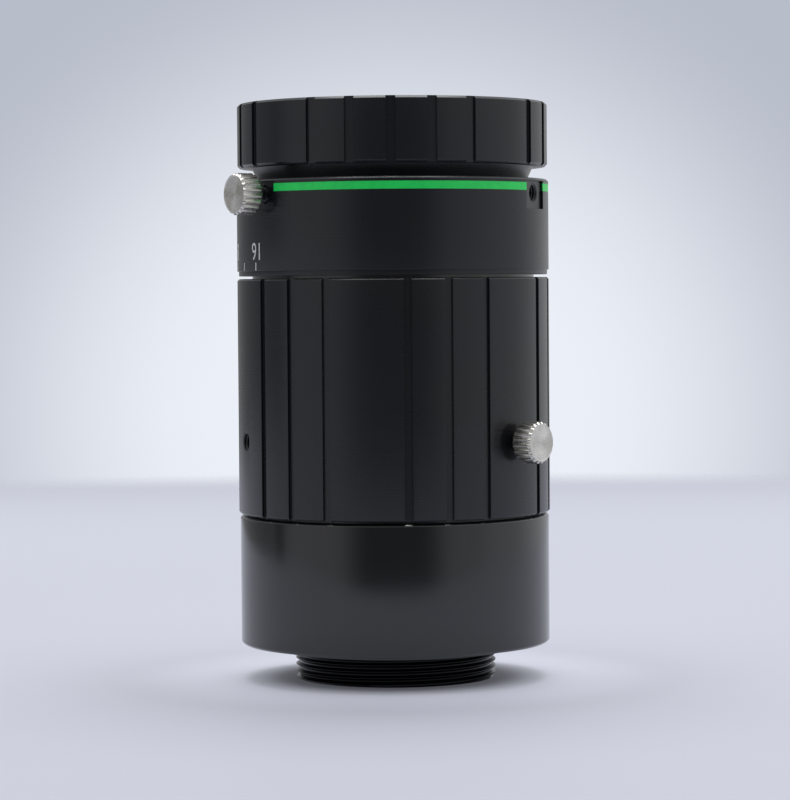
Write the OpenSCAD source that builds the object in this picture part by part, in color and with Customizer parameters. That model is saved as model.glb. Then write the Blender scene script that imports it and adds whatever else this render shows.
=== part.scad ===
// C-mount lens for machine vision, standing on its mount thread with the front up.
// A fixed barrel carries an iris ring and a nameplate ring. The focus ring screws out of the
// barrel on a helicoid and carries the lens unit, whose six-blade iris follows the iris ring.
// Millimetres. The origin is the centre of the flange seat, +Z runs along the optical axis to
// the front, and an azimuth is counted from -Y towards +X.

/* [Mount] */
// Major diameter of the mount thread
thread_d = 25.4; // [24:0.1:26.4]
// Length of the mount thread below the flange seat
thread_len = 3.7; // [3:0.1:4.2]
// Chamfer at the end of the mount thread
thread_chamfer = 0.4; // [0.2:0.05:0.6]
// Diameter of the light opening through the mount
mount_bore_d = 22.6; // [20:0.1:23]
// Diameter of the flange seat
flange_d = 30; // [29:0.1:34]
// Height of the flange below the barrel
flange_h = 0.8; // [0.5:0.1:2]
// Diameter of the mount's threaded spigot inside the barrel
spigot_d = 28; // [27.5:0.1:28.6]
// Height of the mount's threaded spigot
spigot_h = 4; // [2:0.1:5]

/* [Heights] */
// Height of the rear barrel that shows
barrel_h = 16.3; // [12:0.05:24]
// Gap between rear barrel and iris ring
lower_gap = 0.25; // [0.2:0.05:1]
// Height of the iris ring
iris_ring_h = 29.65; // [26:0.05:36]
// Gap between iris ring and nameplate ring
upper_gap = 0.35; // [0.2:0.05:1]
// Height of the nameplate ring
plate_h = 11.95; // [10:0.05:18]
// Height of the neck between nameplate ring and focus ring
neck_h = 1.65; // [1.3:0.05:2.5]
// Height of the focus ring's rim
rim_h = 8.05; // [7:0.25:12]

/* [Walls] */
// Wall of the lens barrel's tube round the front group
tube_wall = 1.2; // [1:0.05:2]
// Wall of the focus ring's helicoid skirt
skirt_wall = 1.05; // [0.8:0.05:1.6]
// Wall of the fixed sleeve under the rings
sleeve_wall = 1.65; // [1.3:0.05:2.5]
// Wall of the iris ring and the nameplate ring
ring_wall = 1.85; // [1.6:0.05:3]
// Wall of the lens barrel round the iris
drum_wall = 1.35; // [1:0.05:1.8]
// Wall of the rear cell
cell_wall = 1.6; // [1.2:0.05:2]
// Set back of the rear barrel from the iris ring
barrel_setback = 0.15; // [0:0.05:0.5]
// Set back of the focus ring from the iris ring
rim_setback = 0.13; // [0:0.05:0.5]

/* [Grip and trim] */
// Chamfer on the edges of the iris ring
ring_chamfer = 0.25; // [0.1:0.05:0.8]
// Chamfer on the edges of barrel and focus ring
edge_chamfer = 0.3; // [0.1:0.05:0.6]
// Width of a groove in the focus ring
rim_groove_w = 1.2; // [0.6:0.1:2]
// Width of a groove in the iris ring
iris_groove_w = 0.95; // [0.6:0.05:2]
// Depth of the grip grooves
groove_depth = 0.35; // [0.15:0.05:0.6]
// Grooves between two plain lands of the focus ring
rim_groove_group = 5; // [2:1:5]
// Grooves between two plain lands of the iris ring
iris_groove_group = 3; // [2:1:3]
// Height of the green line
line_h = 1; // [0.4:0.1:1.4]
// Depth of the green line's groove
line_depth = 0.12; // [0.05:0.01:0.2]
// Distance from the nameplate ring's top down to the green line
line_from_top = 0.6; // [0.5:0.05:1.6]

/* [Pockets and lock screws] */
// Width of a pocket in the nameplate ring
pocket_w = 5.2; // [4:0.1:7]
// Height of a pocket
pocket_h = 3.5; // [3:0.1:4.5]
// Depth of a pocket's flat floor
pocket_depth = 0.45; // [0.3:0.05:0.9]
// Distance from the nameplate ring's top down to the pocket
pocket_from_top = 0.35; // [0.3:0.05:0.7]
// Diameter of the lock screws' thread
lock_thread_d = 2; // [1.6:0.1:2.2]
// Diameter of a lock screw's knurled head
lock_head_d = 5.2; // [4.4:0.1:6]
// Height of a lock screw's head
lock_head_h = 2.7; // [2:0.1:4]
// Teeth round a lock screw's head
lock_teeth = 20; // [14:1:24]
// Height of the iris ring's screw holes above its lower edge
iris_lock_up = 9.3; // [7:0.1:10]
// Distance from the nameplate ring's top down to its screw holes
focus_lock_down = 1.9; // [1.8:0.05:2.4]
// Standoff of the iris lock's head from the iris ring
iris_head_standoff = 1.05; // [0.5:0.05:3]
// Standoff of the focus lock's head from the nameplate ring
focus_head_standoff = 1.25; // [0.5:0.05:3]

/* [Focus] */
// Travel of the lens unit
focus_travel = 6; // [4:0.5:7]
// Turn of the focus ring over its travel, degrees
focus_turn = 270; // [180:5:300]
// Inner diameter of the filter thread
filter_d = 34.96; // [34:0.02:35.4]
// Depth of the filter thread
filter_depth = 3.5; // [2:0.1:4]

/* [Glass] */
// Diameter of the front lens
front_lens_d = 25.8; // [25:0.1:28]
// Diameter of the front doublet
front_doublet_d = 23.2; // [20:0.1:23.6]
// Diameter of the rear lenses
rear_lens_d = 20.8; // [19.6:0.1:21.2]
// Radius of the front lens's front face
front_lens_curve = 30; // [26:0.5:40]
// Thickness of the front lens
front_lens_t = 4.6; // [4.2:0.1:6]
// Air between front lens and doublet, on the axis
front_air = 3.4; // [3.2:0.1:5]
// Thickness of the front doublet's crown
front_crown_t = 6.2; // [5.8:0.1:7]
// Thickness of the front doublet's flint
front_flint_t = 1.6; // [1:0.1:2.4]
// Thickness of the rear doublet's flint
rear_flint_t = 1.5; // [1:0.1:2.4]
// Thickness of the rear doublet's crown
rear_crown_t = 6; // [5.2:0.1:7]
// Air between rear doublet and rear lens, on the axis
rear_air = 0.8; // [0.6:0.1:2]
// Thickness of the rear lens
rear_lens_t = 3.6; // [3.2:0.1:4.4]

/* [Iris] */
// Height of the iris's seat above the iris ring's lower edge
iris_seat_up = 17.25; // [16.5:0.25:18.5]
// Turn of the iris ring from open to closed, degrees
iris_turn = 58.3; // [40:0.1:59]
// Turn of a blade for one degree of the iris ring
blade_ratio = 0.528; // [0.4:0.002:0.54]
// Diameter of the fixed stop
stop_d = 12.8; // [10:0.1:14]
// Thickness of a blade
blade_t = 0.1; // [0.06:0.01:0.12]
// Distance from one blade's layer to the next
blade_pitch = 0.18; // [0.16:0.01:0.22]
// Width of a blade's crescent
blade_w = 3.4; // [3:0.1:3.6]
// Distance from a blade's pivot to its drive pin
blade_arm = 2.6; // [2.2:0.05:2.7]
// Diameter of the pin that the iris ring drives
drive_pin_d = 1.5; // [1:0.1:1.8]

/* [Fits] */
// Radial clearance of running fits
run_gap = 0.05; // [0.03:0.01:0.08]
// Radial clearance of screwed and seated pieces
fix_gap = 0.03; // [0.02:0.01:0.05]
// Cement and seat clearance at the glass
seat_gap = 0.03; // [0.02:0.01:0.05]

/* [Hidden] */
$fn = 144;

black = [0.09, 0.09, 0.10];
dull_black = [0.05, 0.05, 0.055];
nickel = [0.72, 0.70, 0.66];
green = [0.12, 0.70, 0.30];
crown_glass = [0.62, 0.74, 0.80, 0.5];
flint_glass = [0.60, 0.66, 0.78, 0.5];
cut = 1; // How far a cutting shape runs past the face that it cuts

// Azimuths, degrees
lock_step = 120;
iris_lock_az = 50.2;
pocket_az = -55.2;
rim_land_az = 44.5;
pin_az = 111;
guide_az = -90;
stop_az = 0;
blade_az = 20;

// Radii of the mount
thread_r = thread_d / 2;
mount_bore_r = mount_bore_d / 2;
flange_r = flange_d / 2;
spigot_r = spigot_d / 2;

// Radii from the front lens outwards
front_lens_r = front_lens_d / 2;
front_bore_r = front_lens_r + run_gap;
retainer_step = 0.65;
front_thread_r = front_bore_r + retainer_step;
tube_r = front_thread_r + tube_wall;
skirt_in_r = tube_r + 0.3;
skirt_r = skirt_in_r + skirt_wall;
sleeve_bore_r = skirt_r + run_gap;
sleeve_r = sleeve_bore_r + sleeve_wall;
ring_bore_r = sleeve_r + run_gap;
ring_r = ring_bore_r + ring_wall;
barrel_r = ring_r - barrel_setback;
rim_r = ring_r - rim_setback;
neck_r = sleeve_r - 0.8;
neck_flare = 0.75;
plate_lip_r = neck_r + 0.25;
plate_bore_r = sleeve_r + fix_gap;
lens_flange_r = skirt_in_r + 1.4;
flange_pocket_r = lens_flange_r + run_gap;
carrier_r = flange_pocket_r + 0.32;
filter_r = filter_d / 2;

// Radii of the iris and of the drum round it
drum_r = sleeve_bore_r - 0.8;
drum_bore_r = drum_r - drum_wall;
cam_r = drum_bore_r - run_gap;
stop_r = stop_d / 2;
pivot_r = cam_r - 2.6;
blade_out_r = pivot_r - 0.9;
blade_in_r = blade_out_r - blade_w;
pivot_pin_r = 0.4;
cam_pin_r = 0.35;
arm_angle = 60;
drive_pin_r = drive_pin_d / 2;
fork_in_r = drum_bore_r + 0.25;
fork_out_r = sleeve_bore_r - 0.2;
fork_half_w = 2.3;

// Radii of the rear group
rear_lens_r = rear_lens_d / 2;
rear_bore_r = rear_lens_r + run_gap;
rear_thread_r = rear_bore_r + 0.55;
cell_r = rear_thread_r + cell_wall;
guide_r = cell_r + run_gap;

// Heights from the seat upwards
barrel_z0 = flange_h;
barrel_z1 = barrel_z0 + barrel_h;
spigot_z1 = flange_h + spigot_h;
land_z1 = spigot_z1 + 8.7;
iris_ring_z0 = barrel_z1 + lower_gap;
iris_ring_z1 = iris_ring_z0 + iris_ring_h;
plate_z0 = iris_ring_z1 + upper_gap;
plate_z1 = plate_z0 + plate_h;
plate_step_h = 0.6;
plate_step = 0.2;
plate_chamfer = 0.25;
sleeve_z1 = plate_z1 - 0.5;
rim_z0 = plate_z1 + neck_h;
rim_z1 = rim_z0 + rim_h;
shoulder_z = plate_z1 - 0.2;
ledge_z = plate_z1 + 1.3;

// Heights of the lens unit's carriage in the focus ring
slide_gap = 0.03;
lens_flange_z0 = ledge_z + slide_gap;
lens_flange_z1 = lens_flange_z0 + 1.3;
carrier_z0 = lens_flange_z1 + slide_gap;
carrier_t = 2;
carrier_z1 = carrier_z0 + carrier_t;
carrier_hole_r = 0.45;
carrier_hole_depth = carrier_t / 2;
filter_z0 = rim_z1 - filter_depth;
nose_z1 = lens_flange_z1 + 2.3;

// Heights of the iris, from the seat of its base plate downwards
iris_seat_z = iris_ring_z0 + iris_seat_up;
base_plate_t = 0.6;
base_plate_z0 = iris_seat_z - base_plate_t;
blade_count = 6;
blade_gap = 0.12;
cam_z1 = base_plate_z0 - blade_gap - blade_t - blade_pitch * (blade_count - 1) - 0.1;
cam_t = 0.78;
cam_z0 = cam_z1 - cam_t;
iris_retainer_z1 = cam_z0 - 0.05;
iris_retainer_t = 0.75;
iris_retainer_z0 = iris_retainer_z1 - iris_retainer_t;
retainer_hole_r = 0.6;
pin_z = cam_z0 - 1.5;
fork_z0 = pin_z - focus_travel - drive_pin_r - 0.55;
drum_z1 = iris_seat_z + 2.9;
drum_z0 = min(drum_z1 - focus_travel - 3, cam_z0 - 3);
skirt_z0 = drum_z1 + 0.5;
guide_z = drum_z1 - 1.5;
guide_dog_r = 0.95;
guide_body_r = 1.25;
keyway_depth = 0.6;

// Heights of the rear cell
cell_z1 = iris_retainer_z0;
cell_flange_z0 = cell_z1 - 2.2;
cell_z0 = spigot_z1 + 0.4;
cell_seat_z = cell_z1 - 3.7;

// Lock screws
lock_hole_r = lock_thread_d / 2;
lock_shank_r = lock_hole_r - run_gap;
iris_lock_z = iris_ring_z0 + iris_lock_up;
focus_lock_z = plate_z1 - focus_lock_down;
sleeve_hole_r = lock_hole_r + 0.2;

// Height of a sphere's surface above the rim of the cap with radius h
function sag(curve, h) = curve - sqrt(curve * curve - h * h);

// Front group, from the nose down to the doublet's seat
front_vertex_z = nose_z1 - 1.2;
front_lens_back = 150;
front_lens_dish_r = front_lens_r - 0.7;
front_back_z = front_vertex_z - front_lens_t;
front_edge_z = front_vertex_z - sag(front_lens_curve, front_lens_r);
front_rim_z = front_back_z - sag(front_lens_back, front_lens_dish_r);
front_stop_r = front_lens_r - 0.9;
front_ring_z0 = front_vertex_z - sag(front_lens_curve, front_stop_r) + seat_gap;
front_ring_z1 = front_ring_z0 + 1.5;
doublet_r = front_doublet_d / 2;
doublet_bore_r = doublet_r + run_gap;
doublet_z = front_back_z - front_air;
doublet_curve = 22;
doublet_cement = 40;
doublet_joint_z = doublet_z - front_crown_t;
doublet_flint_z = doublet_joint_z - seat_gap;
doublet_back_z = doublet_flint_z - front_flint_t;
doublet_dish = 13.5;
doublet_dish_r = 8.5;
doublet_seat_z = doublet_back_z - sag(doublet_dish, doublet_dish_r) - seat_gap;
spacer_in_r = doublet_r - 1;
spacer_z1 = front_rim_z - seat_gap;
spacer_z0 = doublet_z - sag(doublet_curve, spacer_in_r) + seat_gap;

// Rear group, from the cell's seat down to the rear retaining ring
flint_dish = 13;
flint_dish_r = 8;
retainer_in_r = flint_dish_r + 0.4;
retainer_hole_set = (drum_bore_r + retainer_in_r) / 2;
flint_rim_z = cell_seat_z - seat_gap;
flint_z = flint_rim_z - sag(flint_dish, flint_dish_r);
rear_cement = 60;
rear_joint_z = flint_z - rear_flint_t;
crown_z = rear_joint_z - seat_gap;
crown_curve = 20;
crown_back_z = crown_z - rear_crown_t;
rear_stop_r = rear_lens_r - 1;
rear_spacer_z1 = crown_back_z + sag(crown_curve, rear_stop_r) - seat_gap;
rear_z = crown_back_z - rear_air;
rear_front_curve = 45;
rear_back_curve = 60;
rear_spacer_z0 = rear_z - sag(rear_front_curve, rear_stop_r) + seat_gap;
rear_back_z = rear_z - rear_lens_t;
rear_edge_z = rear_back_z + sag(rear_back_curve, rear_lens_r);
rear_hold_r = rear_lens_r - 0.8;
rear_ring_z1 = rear_back_z + sag(rear_back_curve, rear_hold_r) - seat_gap;
rear_ring_z0 = rear_ring_z1 - 1.6;

// Turns its children, drawn at -Y, to an azimuth
module at(azimuth) {
    rotate([0, 0, azimuth]) children();
}

// A rod across the axis at -Y, from one radius out to another
module rod(z, from_r, to_r, r, sides = 36) {
    translate([0, -from_r, z]) rotate([90, 0, 0]) cylinder(h = to_r - from_r, r = r, $fn = sides);
}

// A wedge between two azimuths, for cutting part of a ring
module wedge(from_az, to_az, reach, z0, z1) {
    steps = ceil((to_az - from_az) / 30);
    step = (to_az - from_az) / steps;
    edge = [for (i = [0:steps]) let (a = from_az + i * step)
        reach / cos(step / 2) * [sin(a), -cos(a)]];
    translate([0, 0, z0]) linear_extrude(z1 - z0) polygon(concat([[0, 0]], edge));
}

module ring(out_r, in_r, z0, z1) {
    rotate_extrude() polygon([[in_r, z0], [out_r, z0], [out_r, z1], [in_r, z1]]);
}

// Flat-bottomed grip grooves in groups, with a plain land before each group
module grip_grooves(r, width, group, land_az, z0, z1) {
    count = 24;
    for (i = [0:count - 1])
        if (i % (group + 1) != 0)
            at(land_az + i * 360 / count)
                translate([-width / 2, -r - cut, z0 - cut])
                    cube([width, groove_depth + cut, z1 - z0 + 2 * cut]);
}

// Two spanner slots across a retaining ring's face
module spanner_slots(r, z, depth) {
    for (side = [0, 180])
        at(side) translate([-0.6, -r - cut, z - depth]) cube([1.2, 2.6 + cut, depth + cut]);
}

// A screw hole through a wall, with a small countersink outside
module lock_hole(z, from_r, to_r) {
    rod(z, from_r - cut, to_r + cut, lock_hole_r);
    translate([0, -to_r - 0.05, z]) rotate([-90, 0, 0])
        cylinder(h = 0.25, r1 = lock_hole_r + 0.25, r2 = lock_hole_r, $fn = 36);
}

// Flat-floored pockets round the nameplate ring, for its lock screw positions
module pockets() {
    for (i = [0:2])
        at(pocket_az + i * lock_step)
            translate([-pocket_w / 2, -ring_r - cut, plate_z1 - pocket_from_top - pocket_h])
                cube([pocket_w, pocket_depth + cut, pocket_h]);
}

// The knurled screw's tip faces the axis, and its head stands outside
module lock_screw(z, tip_r, head_r) {
    rod(z, tip_r, head_r + 0.5, lock_shank_r);
    translate([0, -head_r, z]) rotate([90, 0, 0]) difference() {
        r = lock_head_d / 2;
        bevel = 0.28;
        rotate_extrude() polygon([[0, 0], [r - bevel, 0], [r, bevel],
            [r, lock_head_h - bevel], [r - bevel, lock_head_h], [0, lock_head_h]]);
        for (i = [0:lock_teeth - 1])
            rotate([0, 0, i * 360 / lock_teeth]) translate([r + 0.12, 0, -cut]) rotate([0, 0, 45])
                translate([-0.3, -0.3, 0]) cube([0.6, 0.6, lock_head_h + 2 * cut]);
    }
}

module mount_ring() {
    color(black) rotate_extrude() polygon([
        [mount_bore_r, -thread_len], [thread_r - thread_chamfer, -thread_len],
        [thread_r, -thread_len + thread_chamfer], [thread_r, 0], [flange_r, 0],
        [flange_r, flange_h], [spigot_r, flange_h], [spigot_r, spigot_z1],
        [mount_bore_r, spigot_z1]]);
}

// Rear barrel and sleeve, turned from one piece
module rear_barrel() {
    recess_r = spigot_r + fix_gap;
    color(black) difference() {
        rotate_extrude() polygon([
            [recess_r, barrel_z0], [barrel_r - edge_chamfer, barrel_z0],
            [barrel_r, barrel_z0 + edge_chamfer], [barrel_r, barrel_z1 - edge_chamfer],
            [barrel_r - edge_chamfer, barrel_z1], [sleeve_r, barrel_z1],
            [sleeve_r, sleeve_z1], [sleeve_bore_r, sleeve_z1], [sleeve_bore_r, land_z1],
            [guide_r, land_z1], [guide_r, spigot_z1], [recess_r, spigot_z1]]);
        iris_slot();
        at(guide_az) rod(guide_z, sleeve_bore_r - cut, sleeve_r + cut, guide_body_r + fix_gap);
        for (i = [0:2])
            at(pocket_az + i * lock_step)
                rod(focus_lock_z, sleeve_bore_r - cut, sleeve_r + cut, sleeve_hole_r);
    }
}

// Slot round the sleeve whose drilled ends stop the drive pin at open and at closed
module iris_slot() {
    half_w = drive_pin_r + run_gap;
    end_relief = 0.04;
    intersection() {
        ring(sleeve_r + cut, sleeve_bore_r - cut, pin_z - half_w, pin_z + half_w);
        wedge(pin_az, pin_az + iris_turn, sleeve_r + 2 * cut, pin_z - half_w, pin_z + half_w);
    }
    for (a = [pin_az, pin_az + iris_turn])
        at(a) rod(pin_z, sleeve_bore_r - cut, sleeve_r + cut, half_w + end_relief);
}

module nameplate_ring() {
    line_z1 = plate_z1 - line_from_top;
    line_z0 = line_z1 - line_h;
    color(black) difference() {
        rotate_extrude() polygon([
            [plate_bore_r, plate_z0], [ring_r - plate_step, plate_z0],
            [ring_r - plate_step, plate_z0 + plate_step_h], [ring_r, plate_z0 + plate_step_h],
            [ring_r, line_z0], [ring_r - line_depth, line_z0],
            [ring_r - line_depth, line_z1], [ring_r, line_z1],
            [ring_r, plate_z1 - plate_chamfer], [ring_r - plate_chamfer, plate_z1],
            [plate_lip_r, plate_z1], [plate_lip_r, sleeve_z1], [plate_bore_r, sleeve_z1]]);
        pockets();
        for (i = [0:2])
            at(pocket_az + i * lock_step)
                rod(focus_lock_z, plate_bore_r - cut, ring_r + cut, lock_hole_r);
    }
}

// Paint that fills the nameplate ring's groove, with a small clearance
module green_line() {
    clearance = 0.01;
    line_z1 = plate_z1 - line_from_top;
    color(green) difference() {
        ring(ring_r, ring_r - line_depth + clearance, line_z1 - line_h + clearance,
            line_z1 - clearance);
        pockets();
        for (i = [0:2])
            at(pocket_az + i * lock_step)
                rod(focus_lock_z, plate_bore_r, ring_r + cut, lock_hole_r);
    }
}

// Dog-point screw in the sleeve that keeps the lens unit from turning
module guide_screw() {
    dog_tip_r = drum_r - keyway_depth + 0.15;
    color(nickel) at(guide_az) difference() {
        union() {
            rod(guide_z, dog_tip_r, sleeve_bore_r + 0.3, guide_dog_r);
            rod(guide_z, sleeve_bore_r + 0.1, sleeve_r - 0.05, guide_body_r);
        }
        rod(guide_z, sleeve_r - 0.85, sleeve_r + cut, 0.65, 6);
    }
}

module iris_ring() {
    color(black) difference() {
        rotate_extrude() polygon([
            [ring_bore_r, iris_ring_z0], [ring_r - ring_chamfer, iris_ring_z0],
            [ring_r, iris_ring_z0 + ring_chamfer], [ring_r, iris_ring_z1 - ring_chamfer],
            [ring_r - ring_chamfer, iris_ring_z1], [ring_bore_r, iris_ring_z1]]);
        grip_grooves(ring_r, iris_groove_w, iris_groove_group, iris_lock_az,
            iris_ring_z0, iris_ring_z1);
        for (i = [0:2])
            at(iris_lock_az + i * lock_step) lock_hole(iris_lock_z, ring_bore_r, ring_r);
        at(pin_az) rod(pin_z, ring_bore_r - cut, ring_r - 0.65, drive_pin_r + fix_gap);
    }
}

module iris_drive_pin() {
    color(nickel) at(pin_az) rod(pin_z, fork_in_r + 0.4, ring_r - 0.7, drive_pin_r);
}

module iris_lock_screw() {
    color(nickel) at(iris_lock_az)
        lock_screw(iris_lock_z, sleeve_r + 0.05, ring_r + iris_head_standoff);
}

module focus_lock_screw() {
    color(nickel) at(pocket_az)
        lock_screw(focus_lock_z, skirt_r + 0.1, ring_r + focus_head_standoff);
}

// Grooved rim, neck and helicoid skirt, turned from one piece
module focus_ring() {
    color(black) difference() {
        rotate_extrude() polygon([
            [skirt_in_r, skirt_z0], [skirt_r, skirt_z0], [skirt_r, shoulder_z],
            [neck_r, shoulder_z], [neck_r, plate_z1], [neck_r + neck_flare, rim_z0],
            [rim_r - edge_chamfer, rim_z0], [rim_r, rim_z0 + edge_chamfer],
            [rim_r, rim_z1 - edge_chamfer], [rim_r - edge_chamfer, rim_z1],
            [filter_r + 0.3, rim_z1], [filter_r, rim_z1 - 0.3], [filter_r, filter_z0],
            [carrier_r + fix_gap, filter_z0], [carrier_r + fix_gap, carrier_z0],
            [flange_pocket_r, carrier_z0], [flange_pocket_r, ledge_z], [skirt_in_r, ledge_z]]);
        grip_grooves(rim_r, rim_groove_w, rim_groove_group, rim_land_az, rim_z0, rim_z1);
        stop_slot();
    }
}

stop_pin_r = 0.35;
stop_track_r = skirt_in_r + 0.8;
stop_floor_z = ledge_z - 0.9;

// Slot in the focus ring's ledge whose ends meet the stop pin at near and at far focus
module stop_slot() {
    half_w = stop_pin_r + 0.07;
    intersection() {
        ring(stop_track_r + half_w, stop_track_r - half_w, stop_floor_z, ledge_z + cut);
        wedge(stop_az - focus_turn, stop_az, stop_track_r + 2 * cut, stop_floor_z, ledge_z + cut);
    }
    for (a = [stop_az - focus_turn, stop_az])
        at(a) translate([0, -stop_track_r, stop_floor_z])
            cylinder(h = ledge_z + cut - stop_floor_z, r = half_w, $fn = 24);
}

module focus_stop_pin() {
    color(nickel) at(stop_az) translate([0, -stop_track_r, stop_floor_z + 0.1])
        cylinder(h = lens_flange_z1 - stop_floor_z - 0.1, r = stop_pin_r, $fn = 24);
}

// Screwed ring that holds the lens barrel's flange in the focus ring
module carrier_ring() {
    color(dull_black) difference() {
        ring(carrier_r, tube_r + 0.1, carrier_z0, carrier_z1);
        for (side = [90, 270])
            at(side) translate([0, -(carrier_r + tube_r) / 2, carrier_z1 - carrier_hole_depth])
                cylinder(h = carrier_hole_depth + cut, r = carrier_hole_r, $fn = 24);
    }
}

// Lens barrel: nose, flange, tube round the front group and drum round the iris
module lens_barrel() {
    thread_floor_z = front_edge_z - 0.1;
    color(dull_black) difference() {
        rotate_extrude() polygon([
            [drum_bore_r, drum_z0], [drum_r, drum_z0], [drum_r, drum_z1], [tube_r, drum_z1],
            [tube_r, lens_flange_z0], [lens_flange_r, lens_flange_z0],
            [lens_flange_r, lens_flange_z1], [tube_r, lens_flange_z1],
            [tube_r, nose_z1 - 0.3], [tube_r - 0.3, nose_z1], [front_thread_r, nose_z1],
            [front_thread_r, thread_floor_z], [front_bore_r, thread_floor_z],
            [front_bore_r, spacer_z0 - 0.2], [doublet_bore_r, spacer_z0 - 0.2],
            [doublet_bore_r, doublet_seat_z], [doublet_dish_r + 0.2, doublet_seat_z],
            [stop_r + 1.6, iris_seat_z], [drum_bore_r, iris_seat_z]]);
        wedge(pin_az - window_margin, pin_az + iris_turn + window_margin,
            drum_r + 2 * cut, drum_z0 - cut, cam_z1 + blade_gap);
        at(guide_az) translate([-guide_dog_r - run_gap, -drum_r - cut, drum_z0 - cut])
            cube([2 * (guide_dog_r + run_gap), keyway_depth + cut, drum_z1 - drum_z0 + cut]);
        at(stop_az) translate([0, -stop_track_r, lens_flange_z0 - cut])
            cylinder(h = 1.3 + 2 * cut, r = stop_pin_r + 0.01, $fn = 24);
    }
}

// Angle from the drive pin to each end of the window that the fork swings in
window_margin = asin(fork_half_w / fork_in_r) + 2;

module retaining_ring(out_r, in_r, z0, z1, face_z) {
    difference() {
        rotate_extrude() polygon(face_z == z1
            ? [[in_r, z0], [out_r, z0], [out_r, z1], [in_r + 0.7, z1]]
            : [[in_r + 0.6, z0], [out_r, z0], [out_r, z1], [in_r, z1]]);
        if (face_z == z1)
            spanner_slots(out_r, z1, 0.7);
        else
            translate([0, 0, z0 + z0]) mirror([0, 0, 1]) spanner_slots(out_r, z0, 0.7);
    }
}

module front_retaining_ring() {
    color(dull_black) retaining_ring(front_thread_r - fix_gap, front_stop_r,
        front_ring_z0, front_ring_z1, front_ring_z1);
}

module rear_retaining_ring() {
    color(dull_black) retaining_ring(rear_thread_r - fix_gap, rear_hold_r,
        rear_ring_z0, rear_ring_z1, rear_ring_z0);
}

// Surfaces of a lens: each takes its vertex height and its radius of curvature
module convex_front(z, curve) {
    intersection() {
        children();
        translate([0, 0, z - curve]) sphere(r = curve);
    }
}
module convex_back(z, curve) {
    intersection() {
        children();
        translate([0, 0, z + curve]) sphere(r = curve);
    }
}
module concave_front(z, curve) {
    difference() {
        children();
        translate([0, 0, z + curve]) sphere(r = curve);
    }
}
module concave_back(z, curve) {
    difference() {
        children();
        translate([0, 0, z - curve]) sphere(r = curve);
    }
}
module blank(r, z0, z1) {
    translate([0, 0, z0]) cylinder(h = z1 - z0, r = r);
}

module front_lens() {
    color(crown_glass)
        concave_back(front_back_z, front_lens_back)
            convex_front(front_vertex_z, front_lens_curve)
                blank(front_lens_r, front_rim_z, front_vertex_z + cut);
}

module front_spacer() {
    color(dull_black) ring(front_bore_r - fix_gap, spacer_in_r, spacer_z0, spacer_z1);
}

module front_doublet_crown() {
    color(crown_glass)
        convex_back(doublet_joint_z, doublet_cement)
            convex_front(doublet_z, doublet_curve)
                blank(doublet_r, doublet_joint_z - cut, doublet_z + cut);
}

module front_doublet_flint() {
    color(flint_glass)
        concave_back(doublet_back_z, doublet_dish)
            concave_front(doublet_flint_z, doublet_cement)
                blank(doublet_r, doublet_seat_z + seat_gap,
                    doublet_flint_z + sag(doublet_cement, doublet_r - 0.3));
}

module iris_base_plate() {
    color(dull_black) difference() {
        ring(drum_bore_r - fix_gap, stop_r, base_plate_z0, iris_seat_z);
        for (i = [1:blade_count])
            at(blade_az + i * 360 / blade_count) translate([0, -pivot_r, base_plate_z0 - cut])
                cylinder(h = base_plate_t + 2 * cut, r = pivot_pin_r + run_gap, $fn = 24);
    }
}

// Where a blade's drive pin is, from the pivot at [pivot_r, 0], after the blade has turned
function cam_point(blade_angle) =
    [pivot_r, 0] + blade_arm * [cos(arm_angle + blade_angle), sin(arm_angle + blade_angle)];

function turned(p, angle) =
    [p[0] * cos(angle) - p[1] * sin(angle), p[0] * sin(angle) + p[1] * cos(angle)];

// Points of an arc about a centre
function arc(center, r, from_a, to_a, steps) =
    [for (i = [0:steps]) let (a = from_a + i * (to_a - from_a) / steps)
        center + r * [cos(a), sin(a)]];

// A blade's outline, with its pivot at [pivot_r, 0]: a crescent with an ear for both pins
module blade_outline() {
    tip_az = 127;
    end_wrap = 15;
    end_r = blade_w / 2;
    mid_r = blade_in_r + end_r;
    pin = cam_point(0);
    lean = atan2(pin[1], pin[0] - pivot_r);
    polygon(concat(
        arc([0, 0], blade_out_r, 0, tip_az, 30),
        arc(mid_r * [cos(tip_az), sin(tip_az)], end_r, tip_az + end_wrap, tip_az + 180 - end_wrap, 10),
        arc([0, 0], blade_in_r, tip_az, 0, 30),
        arc([mid_r, 0], end_r, 180 + end_wrap, 360 - end_wrap, 10)));
    polygon(concat(
        [[blade_out_r - 0.8, -0.7]],
        arc([pivot_r, 0], 0.85, -90, lean - 90, 8),
        arc(pin, 0.65, lean - 90, lean + 90, 12),
        [[blade_out_r - 0.8, 3.4]]));
}

// Blade 1 lies lowest. Its pivot pin goes up to the base plate, its drive pin down to the cam
module iris_blade(i) {
    z = cam_z1 + 0.1 + (i - 1) * blade_pitch;
    pin = cam_point(0);
    color([0.16, 0.16, 0.17]) at(blade_az + i * 360 / blade_count) rotate([0, 0, -90]) {
        translate([0, 0, z]) linear_extrude(blade_t) blade_outline();
        translate([pivot_r, 0, z]) cylinder(h = iris_seat_z - 0.1 - z, r = pivot_pin_r, $fn = 24);
        translate([pin[0], pin[1], cam_z0 + 0.1])
            cylinder(h = z + blade_t - cam_z0 - 0.1, r = cam_pin_r, $fn = 24);
    }
}

// A drive pin's path as the cam ring sees it, while the ring turns and the blade follows
function cam_path(steps) = [for (i = [0:steps]) let (a = i * iris_turn / steps)
    turned(cam_point(a * blade_ratio), -a)];

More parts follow.
